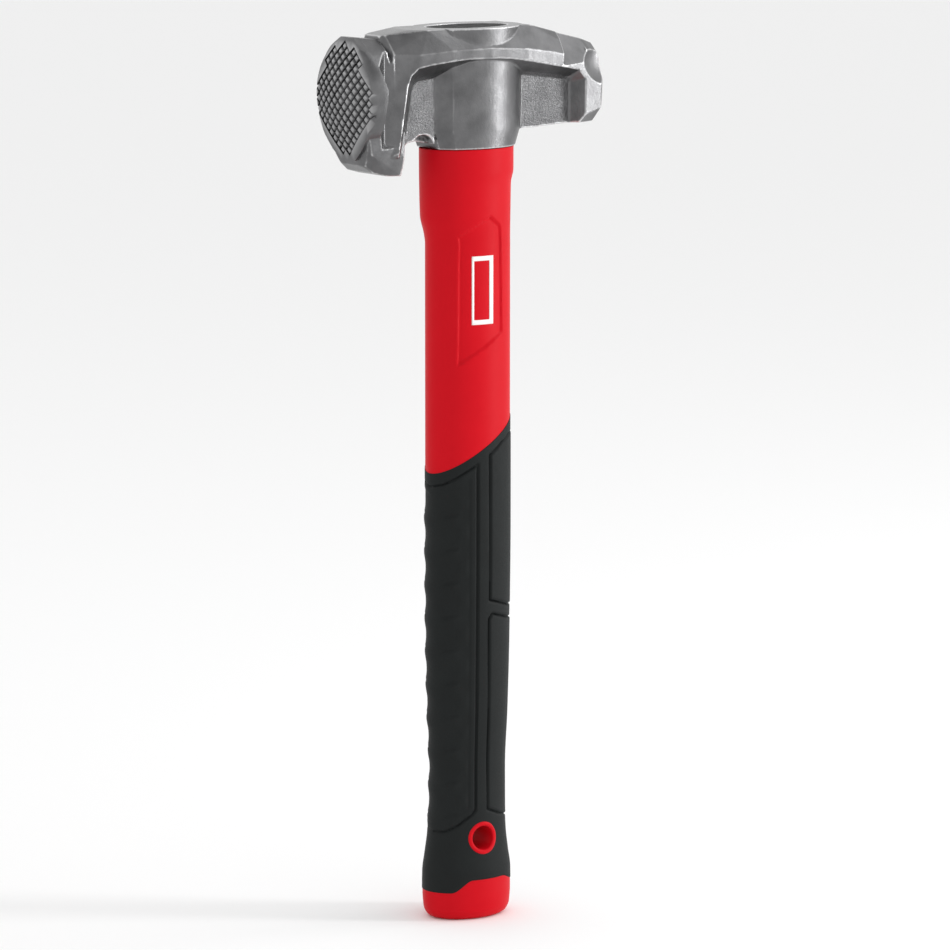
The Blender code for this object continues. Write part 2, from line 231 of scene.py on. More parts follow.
RED_NYLON = make_moulded("red_glass_filled_nylon", ("#BC0A18", "#C60C1B"), 22.0, 0.45,
                         (0.40, 0.50), (0.02, 0.3), IOR=1.53, Specular_IOR_Level=0.07)
BLACK_RUBBER = make_moulded("black_thermoplastic_rubber", ("#171919", "#1D2020"), 14.0, 0.6,
                            (0.52, 0.66), (0.035, 0.4), IOR=1.5, Specular_IOR_Level=0.12)
BLACK_EPOXY = make_moulded("black_poured_epoxy", ("#0C0C0D", "#161617"), 6.0, 2.5,
                           (0.5, 0.62), (0.1, 0.3), IOR=1.55, Specular_IOR_Level=0.05)
GLASS_FIBRE = make_moulded("pultruded_glass_fibre", ("#A79A5E", "#DDD4A4"), 0.5, 0.4,
                           (0.35, 0.5), (0.05, 0.5), stretch=30.0, IOR=1.54)
WHITE_PRINT = make_moulded("white_printing_ink", ("#E4E1DE", "#F2F0EE"), 5.0, 0.8,
                           (0.42, 0.55), (0.01, 0.3))
for node, finish_of_node in (("eye_epoxy", BLACK_EPOXY), ("fibreglass_core", GLASS_FIBRE)):
    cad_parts[node].data.materials.clear()
    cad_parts[node].data.materials.append(finish_of_node)
print("plastics made; the core and the epoxy keep their working shapes")

# %% [markdown]
# ## Solids for the head
# A forging is a few simple masses run together. Each mass is a convex hull of its corners, a
# prism, or a turned shape, and Boolean modifiers join and cut them. The lengths are in
# millimetres from the middle of the butt, with +Z up the handle and -X to the milled face.

# %% Helpers for solids
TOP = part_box("hammer_head")[1].z / MM   # the head's top


def solid(bm, name="tool"):
    """Turns a closed bmesh in mm into an object, with its faces out."""
    bmesh.ops.recalc_face_normals(bm, faces=bm.faces)
    mesh = bpy.data.meshes.new(name)
    bm.to_mesh(mesh)
    bm.free()
    made = bpy.data.objects.new(name, mesh)
    bpy.context.scene.collection.objects.link(made)
    return made


def hull(points):
    """The convex hull of some corners."""
    bm = bmesh.new()
    for point in points:
        bm.verts.new(point)
    result = bmesh.ops.convex_hull(bm, input=bm.verts)
    inner = [v for v in result["geom_interior"] if isinstance(v, bmesh.types.BMVert)]
    bmesh.ops.delete(bm, geom=inner, context='VERTS')
    return solid(bm)


def mirrored(points):
    """Points and their mirror images across the plane Y = 0."""
    return points + [(x, -y, z) for x, y, z in points]


def flipped(points):
    """Only the mirror images across Y = 0."""
    return [(x, -y, z) for x, y, z in points]


def prism(outline, y_low, y_high):
    """An X-Z outline extruded along Y."""
    bm = bmesh.new()
    face = bm.faces.new([bm.verts.new((x, y_low, z)) for x, z in outline])
    side = bmesh.ops.extrude_face_region(bm, geom=[face])
    moved = [v for v in side["geom"] if isinstance(v, bmesh.types.BMVert)]
    bmesh.ops.translate(bm, verts=moved, vec=(0, y_high - y_low, 0))
    return solid(bm)


def oval_cone(low, high, z_low, z_high, segments=96):
    """A tapered oval post; low and high are its half length and half width at each end."""
    bm = bmesh.new()
    bmesh.ops.create_cone(bm, cap_ends=True, segments=segments, radius1=1, radius2=1, depth=2)
    for vert in bm.verts:
        half_x, half_y = high if vert.co.z > 0 else low
        vert.co = (vert.co.x * half_x, vert.co.y * half_y, z_high if vert.co.z > 0 else z_low)
    return solid(bm)


def rod(x, z, radius, y_low, y_high, segments=48):
    """A round bar along Y."""
    turns = [2 * math.pi * i / segments for i in range(segments)]
    return prism([(x + radius * math.cos(t), z + radius * math.sin(t)) for t in turns],
                 y_low, y_high)


def ball(centre, radius, segments=128):
    """A sphere."""
    bm = bmesh.new()
    bmesh.ops.create_uvsphere(bm, u_segments=segments, v_segments=segments // 2, radius=radius)
    bmesh.ops.translate(bm, verts=bm.verts, vec=centre)
    return solid(bm)


def carve(blank, steps):
    """Applies Boolean steps (operation, tool) in order and returns the mesh; the rest goes."""
    for operation, tool in steps:
        modifier = blank.modifiers.new(operation.lower(), 'BOOLEAN')
        modifier.operation = operation
        modifier.object = tool
        modifier.solver = 'EXACT'
    shape = bpy.data.meshes.new_from_object(
        blank.evaluated_get(bpy.context.evaluated_depsgraph_get()))
    for used in [blank] + [tool for _, tool in steps]:
        bpy.data.objects.remove(used, do_unlink=True)
    return shape


# %% [markdown]
# ## The masses of the head
# From the milled face back: a round bell with a small crest on top, a chin that hooks under
# it, a neck pinched in by a V-shaped valley on each side, a wide flange over two sunk
# pockets, an oval boss round the eye, and a poll with a chamfered end.

# %% The bell, neck and chin
FACE_Z = 355.0             # centre height of the bell
FACE_X = -64.7             # highest point of the domed face
DOME_RADIUS = 92.0
MILLED_DEPTH = 1.4         # how far the milled piece stands in front of the forging
BELL_FRONT, BELL_BACK = -60.2, -46.6
BELL_TALL = 1.10           # the bell is a little taller than it is wide
BELL_DROP = 0.6            # and its oval sits a little lower than the dome's centre


def oval_points(x, half_y, count=72):
    """Points of the bell's upright oval at one X."""
    turns = [2 * math.pi * i / count for i in range(count)]
    return [(x, half_y * math.cos(t), FACE_Z - BELL_DROP + BELL_TALL * half_y * math.sin(t))
            for t in turns]


def bell_points():
    """Corners of the bell: a cone and a drum with a crest on them, and the chin's front."""
    points = oval_points(-67.0, 17.4) + oval_points(BELL_FRONT, 21.2)
    points += oval_points(BELL_BACK, 20.8)
    points += mirrored([(-67.0, 3.7, TOP - 2.0), (BELL_FRONT, 3.7, TOP - 2.0),
                        (BELL_BACK, 4.6, TOP - 3.4)])
    points += mirrored([(-67.0, 10.0, 332.0), (-67.0, 4.5, 328.2), (BELL_FRONT, 10.0, 332.0),
                        (-60.8, 4.5, 327.6)])
    return points


# The neck is a plain block; the valleys shape its sides.
NECK = [(-52.0, 6.0, TOP - 5.0), (-52.0, 11.9, 369.5), (-52.0, 11.9, 330.0),
        (-45.2, 6.0, TOP - 5.0), (-45.2, 11.9, 369.5), (-45.2, 11.9, 330.0)]
# The chin runs from the bell's lower sides down and back to the hooked foot.
CHIN = [(-60.8, 15.5, 340.5), (-60.6, 12.2, 333.6), (-60.8, 4.5, 327.6), (-58.0, 13.6, 331.0),
        (-58.6, 9.0, 326.4), (-54.6, 9.3, 322.9), (-48.2, 10.4, 321.2), (-41.3, 11.0, 320.9),
        (-40.9, 13.0, 328.9), (-40.5, 12.9, 339.5), (-55.6, 13.4, 329.4),
        (-52.0, 15.5, 340.5)]

# %% The body: ridge, flange and poll
BODY = [
    (-48.6, 6.0, 379.3), (-33.8, 6.8, TOP), (-28.5, 12.2, TOP), (24.1, 12.3, TOP),
    (54.0, 7.7, 373.5), (60.8, 6.3, 371.2),
    (-48.2, 12.5, 371.9), (-40.5, 15.4, 367.8), (-34.7, 16.6, 371.4), (-19.3, 18.0, 372.4),
    (0.0, 18.6, 372.6), (19.3, 18.0, 371.4), (34.0, 16.7, 369.2), (52.1, 14.7, 365.6),
    (60.6, 14.5, 363.3), (62.7, 10.6, 364.6), (62.7, 12.2, 355.5), (62.7, 10.8, 346.4),
    (-49.2, 12.9, 328.9), (-43.2, 15.5, 331.8), (-19.3, 18.0, 329.9), (0.0, 18.6, 329.9),
    (19.3, 18.0, 331.8), (52.1, 14.7, 343.9), (60.3, 14.4, 344.3),
    (59.3, 9.3, 338.0), (48.2, 9.6, 337.8), (28.9, 11.6, 329.9),
]
PANEL_HALF = 8.7           # half thickness of the steel between the pockets
PANEL_BOTTOM = 337.1
ACROSS = 40                # half length of a tool that cuts right across
# What goes from under the panels, seen along Y
UNDER_PANELS = [(-22.5, 290.0), (-22.5, PANEL_BOTTOM), (29.0, PANEL_BOTTOM),
                (49.0, PANEL_BOTTOM + 1.0), (80.0, PANEL_BOTTOM + 1.0), (80.0, 290.0)]
# The slot behind the chin, the scoops above it (x, z, radius) and how near they come to Y = 0
SLOT = [(-41.0, 308.7), (-39.9, 330.8), (-36.7, 334.1), (-32.8, 334.7), (-21.2, 332.8),
        (-21.2, 308.7)]
SCOOP, SCOOP_INNER_Y = (-28.4, 331.4, 5.8), 4.3
# The scallops on the poll: x, distance from Y = 0, z, and radius
SCALLOP_X, SCALLOP_Y, SCALLOP_Z, SCALLOP_RADIUS = 64.0, 28.2, 366.8, 18.9
# The tapered eye's half length and half width, below and above the head
EYE_LOW, EYE_HIGH = (17.0, 10.3), (19.6, 12.15)
BOSS_BOTTOM = 330.4
# The boss: height, half length and half width
BOSS = [(BOSS_BOTTOM, 22.3, 16.9), (338.0, 25.1, 17.4), (TOP, 25.9, 17.9)]
BOSS_EDGE = math.radians(130)   # where the boss turns to run into the panel behind the bell
POCKET_FLOOR = [(-34.4, 355.5), (-33.2, 358.6), (-31.0, 359.9), (-9.6, 362.3), (9.6, 361.6),
                (45.0, 356.9), (47.3, 355.2), (47.3, 318.3), (-40.9, 318.3)]
POCKET_MOUTH = [(-45.6, 360.0), (-43.3, 365.5), (-38.6, 368.7), (-12.0, 369.9), (10.0, 369.2),
                (50.0, 363.9), (54.6, 358.5), (54.6, 318.3), (-52.9, 318.3)]
POCKET_MOUTH_Y = 20.3
# The valley on each side of the neck, as corners of the wedge that is taken out
VALLEY = [
    (-50.6, 11.9, 335.8), (-50.6, 11.9, 392.0), (-50.1, 12.1, 334.5),
    (-66.0, 25.5, 392.0), (-66.0, 25.5, 352.0), (-58.0, 18.0, 329.2), (-46.0, 18.0, 329.2),
    (-22.0, 24.3, 392.0), (-22.0, 24.3, 329.2),
]
# A notch between the bell's back and the ridge, and the low facet on the poll's shoulder
NOTCH = [(-48.4, 5.6, 375.5), (-48.0, 13.0, 367.0), (-50.2, 4.4, 384.0), (-50.2, 15.5, 374.0),
         (-45.2, 6.0, 384.0), (-44.5, 15.5, 374.0)]
POLL_FACET = [(x, y, z + lift) for lift in (0.0, 25.0) for x, y, z in (
    (39.5, 17.5, 361.5), (39.5, 5.5, 377.3), (53.6, 16.0, 363.0), (55.0, 5.5, 376.4))]


def pocket(side):
    """The sunk pocket on one side: a tapered tool that leaves the panel standing."""
    bm = bmesh.new()
    loops = []
    for y, outline in ((side * PANEL_HALF, POCKET_FLOOR), (side * POCKET_MOUTH_Y, POCKET_MOUTH)):
        verts = [bm.verts.new((x, y, z)) for x, z in outline]
        loops.append([bm.edges.new((verts[i - 1], verts[i])) for i in range(len(verts))])
        bm.faces.new(verts)
    bmesh.ops.bridge_loops(bm, edges=loops[0] + loops[1])
    return solid(bm)


def boss_ring(z, half_x, half_y):
    """The boss's outline at a height: an oval with an edge and a flat on the bell's side."""
    turns = [BOSS_EDGE * i / 30 for i in range(31)]
    side = [(half_x * math.cos(t), half_y * math.sin(t), z) for t in turns]
    side += [(-0.665 * half_x, 0.795 * half_y, z), (-0.885 * half_x, 0.47 * half_y, z)]
    return mirrored(side)


def forge_head():
    """Joins and cuts the masses, and returns the sharp-edged mesh in mm."""
    blank = hull(mirrored(BODY))
    steps = [('DIFFERENCE', prism(UNDER_PANELS, -ACROSS, ACROSS))]
    steps += [('DIFFERENCE', pocket(side)) for side in (-1, 1)]
    steps += [('UNION', hull(boss_ring(*low) + boss_ring(*high)))
              for low, high in zip(BOSS, BOSS[1:])]
    steps.append(('UNION', hull(mirrored(NECK))))
    steps.append(('UNION', hull(bell_points())))
    steps.append(('UNION', hull(mirrored(CHIN))))
    steps += [('DIFFERENCE', hull(points)) for points in (VALLEY, flipped(VALLEY))]
    steps += [('DIFFERENCE', hull(points)) for points in (NOTCH, flipped(NOTCH))]
    steps += [('DIFFERENCE', hull(points)) for points in (POLL_FACET, flipped(POLL_FACET))]
    # The front is cut back to the floor of the milled face, which is a piece of its own.
    dome_centre = (FACE_X + MILLED_DEPTH + DOME_RADIUS, 0, FACE_Z)
    steps.append(('INTERSECT', ball(dome_centre, DOME_RADIUS, 256)))
    steps.append(('DIFFERENCE', prism(SLOT, -ACROSS, ACROSS)))
    steps += [('DIFFERENCE', rod(*SCOOP, *reach))
              for reach in ((-ACROSS, -SCOOP_INNER_Y), (SCOOP_INNER_Y, ACROSS))]
    steps += [('DIFFERENCE', ball((SCALLOP_X, side * SCALLOP_Y, SCALLOP_Z), SCALLOP_RADIUS))
              for side in (-1, 1)]
    steps.append(('DIFFERENCE', oval_cone(EYE_LOW, EYE_HIGH, BOSS_BOTTOM - 8, TOP + 5)))
    return carve(blank, steps)


sharp_head = forge_head()
print("sharp head:", len(sharp_head.polygons), "faces")

# %% [markdown]
# ## Rounding a forging
# Steel fills a die with every edge and every corner a little rounded. Beveling each edge of a
# Boolean shape is fragile, so the solid is turned into an even skin of small squares
# instead, the skin is smoothed a little, and then it is thinned where it is flat.

# %% Skin, smooth and thin the head
def applied(made):
    """Replaces an object's mesh by its modified one and clears its modifiers."""
    mesh = bpy.data.meshes.new_from_object(
        made.evaluated_get(bpy.context.evaluated_depsgraph_get()))
    old = made.data
    made.modifiers.clear()
    made.data = mesh
    bpy.data.meshes.remove(old)
    return mesh


def coordinates(mesh):
    """A mesh's vertices as an array."""
    points = np.empty(len(mesh.vertices) * 3, np.float32)
    mesh.vertices.foreach_get("co", points)
    return points.reshape(-1, 3).astype(np.float64)


def edge_ends(mesh):
    """A mesh's edges as an array of vertex numbers."""
    ends = np.empty(len(mesh.edges) * 2, np.int32)
    mesh.edges.foreach_get("vertices", ends)
    return ends.reshape(-1, 2)


def neighbour_mean(values, ends, count):
    """The mean of the values on each vertex's neighbours."""
    total = np.zeros((count,) + values.shape[1:])
    share = np.zeros(count)
    for a, b in ((0, 1), (1, 0)):
        np.add.at(total, ends[:, a], values[ends[:, b]])
        np.add.at(share, ends[:, a], 1)
    return total / share.reshape((-1,) + (1,) * (values.ndim - 1))


SHRINK, SWELL = 0.5, -0.51  # steps towards and away from the neighbours' mean


def relax(mesh, rounds):
    """Smooths a mesh; each round of shrinking is followed by a slightly smaller swelling."""
    points, ends = coordinates(mesh), edge_ends(mesh)
    for _ in range(rounds):
        for step in (SHRINK, SWELL):
            points += step * (neighbour_mean(points, ends, len(points)) - points)
    mesh.vertices.foreach_set("co", points.astype(np.float32).ravel())
    mesh.update()


SKIN = 0.42                # size of the skin's squares
RELAX_ROUNDS = 6
HEAD_TRIANGLES = 185000


def skin_over(mesh, name, voxel, rounds, triangles):
    """An even, softened and thinned skin over a solid mesh in mm."""
    made = bpy.data.objects.new(name, mesh)
    bpy.context.scene.collection.objects.link(made)
    remesh = made.modifiers.new("skin", 'REMESH')
    remesh.mode = 'VOXEL'
    remesh.voxel_size = voxel
    relax(applied(made), rounds)
    thin = made.modifiers.new("thin", 'DECIMATE')
    thin.ratio = min(1.0, triangles / (2 * len(made.data.polygons)))
    applied(made)
    return made


head = skin_over(sharp_head, "forged_head", SKIN, RELAX_ROUNDS, HEAD_TRIANGLES)
print("head skin:", len(head.data.vertices), "points")

# %% [markdown]
# ## Where the head is rubbed, where light and shade are painted on it, and where it is grainy
# The skin knows how sharply it turns at each point: a point that stands above the mean of
# its neighbours is on an outside edge, and one that sinks below it is in an inside corner.
# Softened, that value lightens the outside edges, as rubbing and as a painted highlight, and
# darkens the inside corners as painted shade. The die grain is strongest on the pocket floors.

# %% Store the rubbed edges with their painted highlight, the painted shade and the grain
def store(mesh, name, values):
    """Keeps one number per vertex for a material to read."""
    layer = mesh.attributes.new(name, 'FLOAT', 'POINT')
    layer.data.foreach_set("value", np.clip(values, 0, 1).astype(np.float32))


def smooth(value, low, high):
    """Runs from 0 at low to 1 at high with level ends; works on arrays."""
    t = np.clip((value - low) / (high - low), 0, 1)
    return t * t * (3 - 2 * t)


def standing_out(mesh):
    """How far each point stands above the mean of the points round it, in mm."""
    points, ends = coordinates(mesh), edge_ends(mesh)
    normals = np.empty(len(points) * 3, np.float32)
    mesh.vertices.foreach_get("normal", normals)
    normals = normals.reshape(-1, 3)
    mean = points
    for _ in range(3):
        mean = neighbour_mean(mean, ends, len(points))
    return np.einsum("ij,ij->i", points - mean, normals)


EDGE_HEIGHTS = (0.03, 0.13)     # mm above the neighbours' mean: no rubbing or painted highlight, full rubbing and painted highlight
CORNER_HEIGHTS = (0.06, 0.25)   # mm below it: no painted shade, full painted shade
# Strongest shares of the near-white painted edge highlight and the near-black painted corner shade
MOST_WEAR_AND_HIGHLIGHT, MOST_PAINTED_SHADE = 0.84, 0.8
LEAST_GRAIN = 0.12              # grain of the ground faces; the pocket floors have 1


def finish_head():
    """Stores the head's lightened edges (rubbing and painted highlight), its painted corner shade
    and its grain.
    """
    mesh = head.data
    x, y, z = coordinates(mesh).T
    height = standing_out(mesh)
    # Outside edges get the rubbed look and a painted highlight; inside corners get painted shade.
    store(mesh, "edge_wear_and_highlight", MOST_WEAR_AND_HIGHLIGHT * smooth(height, *EDGE_HEIGHTS))
    store(mesh, "painted_hollow_shade", MOST_PAINTED_SHADE * smooth(-height, *CORNER_HEIGHTS))
    depth = 1 - smooth(np.abs(y), PANEL_HALF + 0.6, PANEL_HALF + 2.5)
    below_top = 1 - smooth(z, 361.5, 364.5)
    in_length = smooth(x, -44.0, -40.0) * (1 - smooth(x, 46.0, 48.0))
    beside_boss = smooth(np.abs(x), 20.0, 26.0)
    on_floor = depth * below_top * in_length * beside_boss
    store(mesh, "die_grain", LEAST_GRAIN + (1 - LEAST_GRAIN) * on_floor)


finish_head()


def settle(made, material, nodes):
    """Scales a piece from mm to metres, gives it its finish and puts it on the hammer."""
    made.data.transform(Matrix.Scale(MM, 4))
    made.data.materials.clear()
    made.data.materials.append(material)
    made.data.shade_smooth()
    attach(made, "root")
    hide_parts(*nodes)
    print(made.name, "has", len(made.data.polygons), "faces")


settle(head, FORGED_STEEL, ["hammer_head"])

# %% [markdown]
# ## The milled face
# A milled face bites the nail: two sets of straight grooves cross at a slant and leave rows of
# small square pads. A grid does this: the cells inside the milled outline sink to the
# groove floor, each is inset by half a groove, and its middle rises again as a pad.

# %% Mill the face
PITCH = 3.23               # distance between grooves
CELLS = 18                 # cells along each side of the grid
GROOVE = 0.7               # width of a groove at its floor
FIELD_SLOPE = 0.15         # how far the field's edge slopes on its way down
PLATE_BACK = 2.2           # thickness of the plate outside the milled field
TOOTH_HEIGHT = 1.1
TOOTH_ROUNDING = 0.5
WHOLE_CELL = 1.3           # least distance of a cell's middle from the milled outline
TOOTH_TAPER = 0.56         # size of a tooth's top as a share of its foot
MILLED = [(3.9, 376.9), (9.2, 374.6), (17.9, 361.6), (19.9, 357.6), (19.9, 348.0),
          (17.2, 341.2), (8.9, 332.3), (3.0, 330.2)]
MILLED += [(-across, up) for across, up in reversed(MILLED)]


def inside_distance(outline, across, up):
    """Distance in mm from a closed outline's edge, positive inside; works on arrays."""
    corners = np.array(outline, float)
    nearest = np.full(np.shape(across), 1e9)
    inside = np.zeros(np.shape(across), bool)
    for (ax, ay), (bx, by) in zip(corners, np.roll(corners, -1, axis=0)):
        length = (bx - ax) ** 2 + (by - ay) ** 2
        t = np.clip(((across - ax) * (bx - ax) + (up - ay) * (by - ay)) / length, 0, 1)
        gap = np.hypot(across - ax - t * (bx - ax), up - ay - t * (by - ay))
        nearest = np.minimum(nearest, gap)
        if ay != by:
            crosses = (ay > up) != (by > up)
            inside ^= crosses & (across < (bx - ax) * (up - ay) / (by - ay) + ax)
    return np.where(inside, nearest, -nearest)


def mill_face():
    """A thin domed plate with the milled pads on it."""
    bm = bmesh.new()
    bmesh.ops.create_grid(bm, x_segments=CELLS, y_segments=CELLS, size=CELLS * PITCH / 2)
    bmesh.ops.rotate(bm, verts=bm.verts, matrix=Matrix.Rotation(math.radians(45), 3, 'Z'))
    # The grid's X becomes the head's Y, and its Y becomes the height above the face centre.
    cut = []
    for face in bm.faces:
        middle = face.calc_center_median()
        if inside_distance(MILLED, middle.x, middle.y + FACE_Z) > WHOLE_CELL:
            cut.append(face)
    bmesh.ops.inset_region(bm, faces=cut, thickness=FIELD_SLOPE, depth=-TOOTH_HEIGHT,
                           use_even_offset=True)
    bmesh.ops.inset_individual(bm, faces=cut, thickness=(GROOVE - FIELD_SLOPE) / 2)
    raised = bmesh.ops.extrude_discrete_faces(bm, faces=cut)["faces"]
    rims = set()
    for face in raised:
        middle = face.calc_center_median()
        for vert in face.verts:
            vert.co = middle + (vert.co - middle) * TOOTH_TAPER + Vector((0, 0, TOOTH_HEIGHT))
        rims.update(face.edges)
    bmesh.ops.bevel(bm, geom=list(rims), offset=TOOTH_ROUNDING, segments=3, profile=0.5,
                    affect='EDGES', clamp_overlap=True, material=-1)
    # Close the plate behind, stand it up and bend it to the dome.
    border = [edge for edge in bm.edges if edge.is_boundary]
    back = bmesh.ops.extrude_edge_only(bm, edges=border)["geom"]
    low = [v for v in back if isinstance(v, bmesh.types.BMVert)]
    bmesh.ops.translate(bm, verts=low, vec=(0, 0, -PLATE_BACK))
    bmesh.ops.edgeloop_fill(bm, edges=[e for e in back if isinstance(e, bmesh.types.BMEdge)])
    for vert in bm.verts:
        y, up, out = vert.co
        dome = FACE_X - 0.06 + (y * y + up * up) / (2 * DOME_RADIUS)
        vert.co = (dome - out, y, FACE_Z + up)
    return bm


plate = solid(mill_face(), "milled_face")
# The same hull as the bell trims it, a hair larger so that the two skins do not meet.
outer = hull(bell_points())
outer.data.transform(Matrix.Translation((0, 0, FACE_Z)) @ Matrix.Diagonal((1, 1.004, 1.004, 1))
                     @ Matrix.Translation((0, 0, -FACE_Z)))
plate_mesh = carve(plate, [('INTERSECT', outer)])
plate = bpy.data.objects.new("milled_face", plate_mesh)
bpy.context.scene.collection.objects.link(plate)
x, y, z = coordinates(plate_mesh).T
lift = FACE_X + (y ** 2 + (z - FACE_Z) ** 2) / (2 * DOME_RADIUS) - x
in_grooves = inside_distance(MILLED, y, z) > 0
# Pad tops in the milled field are lightened as a painted highlight, and the groove floors are
# darkened as painted shade.
store(plate_mesh, "edge_wear_and_highlight", np.where(in_grooves, 0.3 * smooth(lift, -0.4, 0.0), 0.0))
store(plate_mesh, "painted_hollow_shade", np.where(in_grooves, 1 - smooth(lift, -1.1, -0.5), 0.0))
store(plate_mesh, "die_grain", np.full(len(plate_mesh.vertices), LEAST_GRAIN))
settle(plate, FORGED_STEEL, ["hammer_head"])
plate.data.set_sharp_from_angle(angle=math.radians(60))

# %% [markdown]
# ## The handle's surface
# The handle is oval, with its long way along the head. Its outline is given at a few heights
# and runs smoothly between them. Both mouldings start as a plain tube of small squares,
# whose points are then laid on this surface, pushed in where a groove or a recess is and out
# where a bump is.

# %% The handle's outline
# Height, reach to -X, reach to +X, half width in Y
HANDLE = np.array([
    (0.0, 16.6, 16.6, 12.2), (1.2, 18.5, 18.5, 13.7), (4.3, 19.9, 19.9, 14.9),
    (10.6, 20.4, 20.4, 15.3), (19.3, 20.3, 20.3, 15.2), (28.0, 19.1, 19.1, 14.4),
    (36.7, 17.9, 18.1, 13.6), (48.2, 17.4, 17.7, 13.2), (63.7, 17.1, 17.7, 13.0),
    (88.7, 17.9, 18.8, 13.8), (122.5, 18.6, 19.7, 14.4), (173.6, 18.8, 20.2, 14.7),
    (289.4, 18.8, 20.2, 14.7), (293.2, 19.3, 20.2, 14.8), (301.9, 21.4, 20.3, 15.3),
    (314.4, 21.6, 20.4, 15.8), (320.2, 21.6, 21.6, 16.3), (330.1, 21.6, 21.6, 16.4)])
MM_PER_DEGREE = 0.305      # round the handle, on average
JACKET_TOP = 330.1


def handle_outline(z):
    """Centre, half length and half width of the handle at some heights, as a smooth curve."""
    heights = HANDLE[:, 0]
    z = np.clip(z, heights[0], heights[-1])
    index = np.clip(np.searchsorted(heights, z, side='right') - 1, 0, len(heights) - 2)
    span = heights[index + 1] - heights[index]
    t = (z - heights[index]) / span
    found = []
    for column in (1, 2, 3):
        value = HANDLE[:, column]
        slope = np.diff(value) / np.diff(heights)
        # A limited slope at each station keeps the curve from swinging past it.
        before, after = np.append(slope[:1], slope), np.append(slope, slope[-1:])
        mean = 2 * before * after / (before + after + 1e-12)
        lean = np.where(before * after > 0, mean, 0)
        a, b = value[index], value[index + 1]
        found.append(a * (1 + 2 * t) * (1 - t) ** 2 + b * t * t * (3 - 2 * t)
                     + span * t * (1 - t) * (lean[index] * (1 - t) - lean[index + 1] * t))
    front, back, half_y = found
    return (back - front) / 2, (back + front) / 2, half_y


def on_handle(turn, z, proud=0.0):
    """Points on the handle's surface, or proud of it; turn 0 is +X, the poll side."""
    centre, half_x, half_y = handle_outline(z)
    return np.stack([centre + (half_x + proud) * np.cos(turn),
                     (half_y + proud) * np.sin(turn), z], axis=-1)


def sleeve_top(turn):
    """Height of the grip's slanted upper edge."""
    return 205.0 + 12.1 * np.cos(turn)


def sleeve_bottom(turn):
    """Height of the grip's waved lower edge: low in front, high at the sides."""
    x = 21.0 * np.cos(turn)
    return 11.6 + 5.3 * smooth(x, -16.0, -7.0) - 2.9 * smooth(x, 9.0, 19.0)


def tube(segments, rows):
    """An open tube of squares: its height runs from 0 to 1."""
    bm = bmesh.new()
    bmesh.ops.create_cone(bm, cap_ends=False, segments=segments, radius1=1, radius2=1, depth=1)
    uprights = [e for e in bm.edges if abs(e.verts[0].co.z - e.verts[1].co.z) > 0.5]
    bmesh.ops.subdivide_edges(bm, edges=uprights, cuts=rows - 1, use_grid_fill=True)
    bmesh.ops.translate(bm, verts=bm.verts, vec=(0, 0, 0.5))
    return bm


def lay(bm, place):
    """Moves the tube's points to place(turn, share of its height)."""
    bm.verts.ensure_lookup_table()
    flat = np.array([v.co for v in bm.verts])
    turn = np.arctan2(flat[:, 1], flat[:, 0])
    for vert, point in zip(bm.verts, place(turn, flat[:, 2])):
        vert.co = point


# %% [markdown]
# ## The red jacket
# The jacket shows twice: from the head down to the grip, and again below the grip as the
# butt. Under the grip it is a little thinner, as a seat for the rubber. A slanted label
# recess is sunk in both cheeks.

# %% Mould the jacket
LABEL = [(15.0, 293.6), (29.4, 301.8), (34.6, 297.4), (35.5, 251.9), (14.4, 238.5)]
LABEL_DEPTH = 0.85
LABEL_EDGE = 0.6           # width of the recess's sloping edge
SEAT_DEPTH = 1.4           # how far the seat of the grip lies below the surface


def jacket_heights(turn, share):
    """Rows are close where the label is and wide where the grip covers the jacket."""
    low, high = sleeve_bottom(turn), sleeve_top(turn)
    stops = [0.0, 0.02, 0.06, 0.12, 0.17, 0.25, 0.36, 0.87, 1.0]
    heights = [np.zeros_like(turn), np.full_like(turn, 1.2), np.full_like(turn, 5.0),
               low, low + 5, high - 6, high + 4, np.full_like(turn, 307.0),
               np.full_like(turn, JACKET_TOP)]
    z = np.zeros_like(turn)
    for i in range(len(stops) - 1):
        part = (share - stops[i]) / (stops[i + 1] - stops[i])
        inside = (part >= 0) & (part <= 1)
        z = np.where(inside, heights[i] + (heights[i + 1] - heights[i]) * part, z)
    return z


def jacket_point(turn, share):
    """The jacket's outside."""
    z = jacket_heights(turn, share)
    from_front = (180 - np.abs(np.degrees(turn))) * MM_PER_DEGREE
    recess = smooth(inside_distance(LABEL, from_front, z), 0.0, LABEL_EDGE)
    seat = smooth(z, sleeve_bottom(turn) + 1.5, sleeve_bottom(turn) + 3.5)
    seat *= 1 - smooth(z, sleeve_top(turn) - 3.5, sleeve_top(turn) - 1.5)
    return on_handle(turn, z, -LABEL_DEPTH * recess - SEAT_DEPTH * seat)


def close_ends(bm):
    """Caps a tube's two open ends."""
    bmesh.ops.holes_fill(bm, edges=[e for e in bm.edges if e.is_boundary], sides=0)


HOLE_X, HOLE_Z = -1.0, 35.2
HOLE_RADIUS = 5.1
RING_RADIUS = 7.1
BORE_CLEAR = 1.2           # room round the bore for the bush's wall
JACKET_SQUARES = (256, 260)     # round the tube and along it


def mould_jacket():
    """The jacket, bored for the core and cross-bored for the lanyard."""
    bm = tube(*JACKET_SQUARES)
    lay(bm, jacket_point)
    close_ends(bm)
    core_low, core_high = (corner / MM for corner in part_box("fibreglass_core"))
    bore = (core_high.x + 0.3, core_high.y + 0.3)
    steps = [('DIFFERENCE', oval_cone(bore, bore, core_low.z - 0.3, JACKET_TOP + 10)),
             ('DIFFERENCE', rod(HOLE_X, HOLE_Z, HOLE_RADIUS + BORE_CLEAR, -30, 30))]
    mesh = carve(solid(bm), steps)
    made = bpy.data.objects.new("red_jacket", mesh)
    bpy.context.scene.collection.objects.link(made)
    return made


